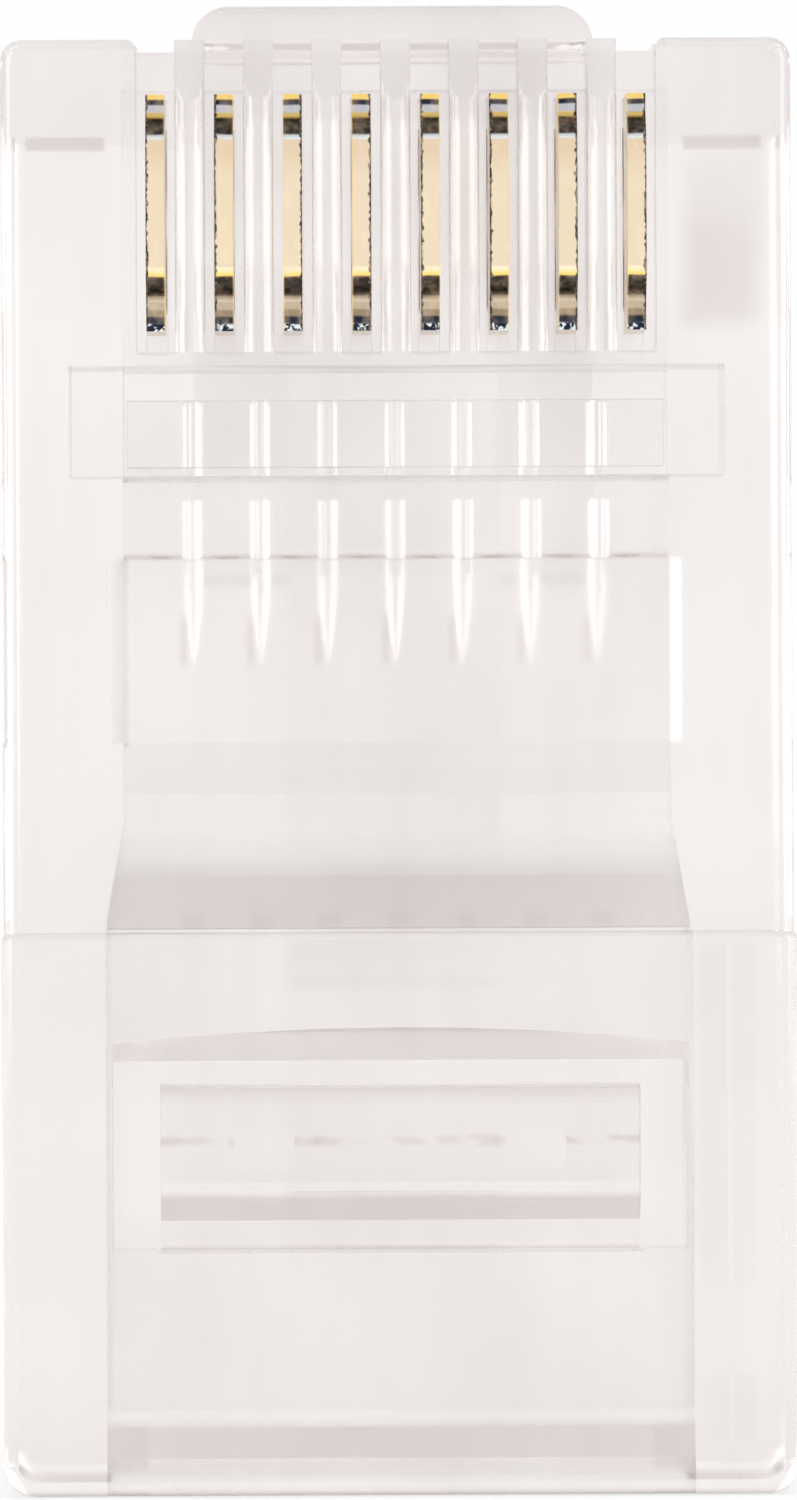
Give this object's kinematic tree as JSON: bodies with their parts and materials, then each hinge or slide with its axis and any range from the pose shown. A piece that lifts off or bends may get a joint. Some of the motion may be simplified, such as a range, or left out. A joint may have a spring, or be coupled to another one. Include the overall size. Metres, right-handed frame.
{
  "type": "modular plug",
  "caption": "Clear modular plug with a comb of gold-plated blades at the nose, a bent-back latch, two strain-relief bars and an open cable cavity.",
  "frame": {"origin": "middle of the flat cable-end face, on the insertion axis of the nose section", "axes": "+Z is the way the plug is pushed in, cable end to nose; +X runs across the contacts; +Y points from the contact side to the latch side"},
  "size_m": [0.0116, 0.0128, 0.0223],
  "materials": {
    "clear_plastic": "clear, polished, moulded polycarbonate",
    "gold_plate": "gold-plated stamped bronze"
  },
  "bodies": {
    "moulding": {"housing": "clear_plastic"},
    "latch": {"latch_tab": "clear_plastic"},
    "jacket_bar": {"cable_bar": "clear_plastic"},
    "wire_bar": {"conductor_bar": "clear_plastic"},
    "blade_1": {"contact_1": "gold_plate"},
    "blade_2": {"contact_2": "gold_plate"},
    "blade_3": {"contact_3": "gold_plate"},
    "blade_4": {"contact_4": "gold_plate"},
    "blade_5": {"contact_5": "gold_plate"},
    "blade_6": {"contact_6": "gold_plate"},
    "blade_7": {"contact_7": "gold_plate"},
    "blade_8": {"contact_8": "gold_plate"}
  },
  "joints": [
    {"name": "latch_press", "type": "hinge", "parent": "moulding", "child": "latch", "pos_m": [0, 0.00425, 0.02123], "axis": [1, 0, 0], "range_deg": [-12, 0], "stiffness_Nm_per_rad": 0.006},
    {"name": "cable_bar_fold", "type": "hinge", "parent": "moulding", "child": "jacket_bar", "pos_m": [0, -0.00336, 0.00368], "axis": [1, 0, 0], "range_deg": [-30, 0]},
    {"name": "conductor_bar_fold", "type": "hinge", "parent": "moulding", "child": "wire_bar", "pos_m": [0, 0.0009, 0.01508], "axis": [1, 0, 0], "range_deg": [-32, 0]},
    {"name": "contact_1_crimp", "type": "slide", "parent": "moulding", "child": "blade_1", "axis": [0, 1, 0], "range_m": [0, 0.00095]},
    {"name": "contact_2_crimp", "type": "slide", "parent": "moulding", "child": "blade_2", "axis": [0, 1, 0], "range_m": [0, 0.00095]},
    {"name": "contact_3_crimp", "type": "slide", "parent": "moulding", "child": "blade_3", "axis": [0, 1, 0], "range_m": [0, 0.00095]},
    {"name": "contact_4_crimp", "type": "slide", "parent": "moulding", "child": "blade_4", "axis": [0, 1, 0], "range_m": [0, 0.00095]},
    {"name": "contact_5_crimp", "type": "slide", "parent": "moulding", "child": "blade_5", "axis": [0, 1, 0], "range_m": [0, 0.00095]},
    {"name": "contact_6_crimp", "type": "slide", "parent": "moulding", "child": "blade_6", "axis": [0, 1, 0], "range_m": [0, 0.00095]},
    {"name": "contact_7_crimp", "type": "slide", "parent": "moulding", "child": "blade_7", "axis": [0, 1, 0], "range_m": [0, 0.00095]},
    {"name": "contact_8_crimp", "type": "slide", "parent": "moulding", "child": "blade_8", "axis": [0, 1, 0], "range_m": [0, 0.00095]}
  ]
}
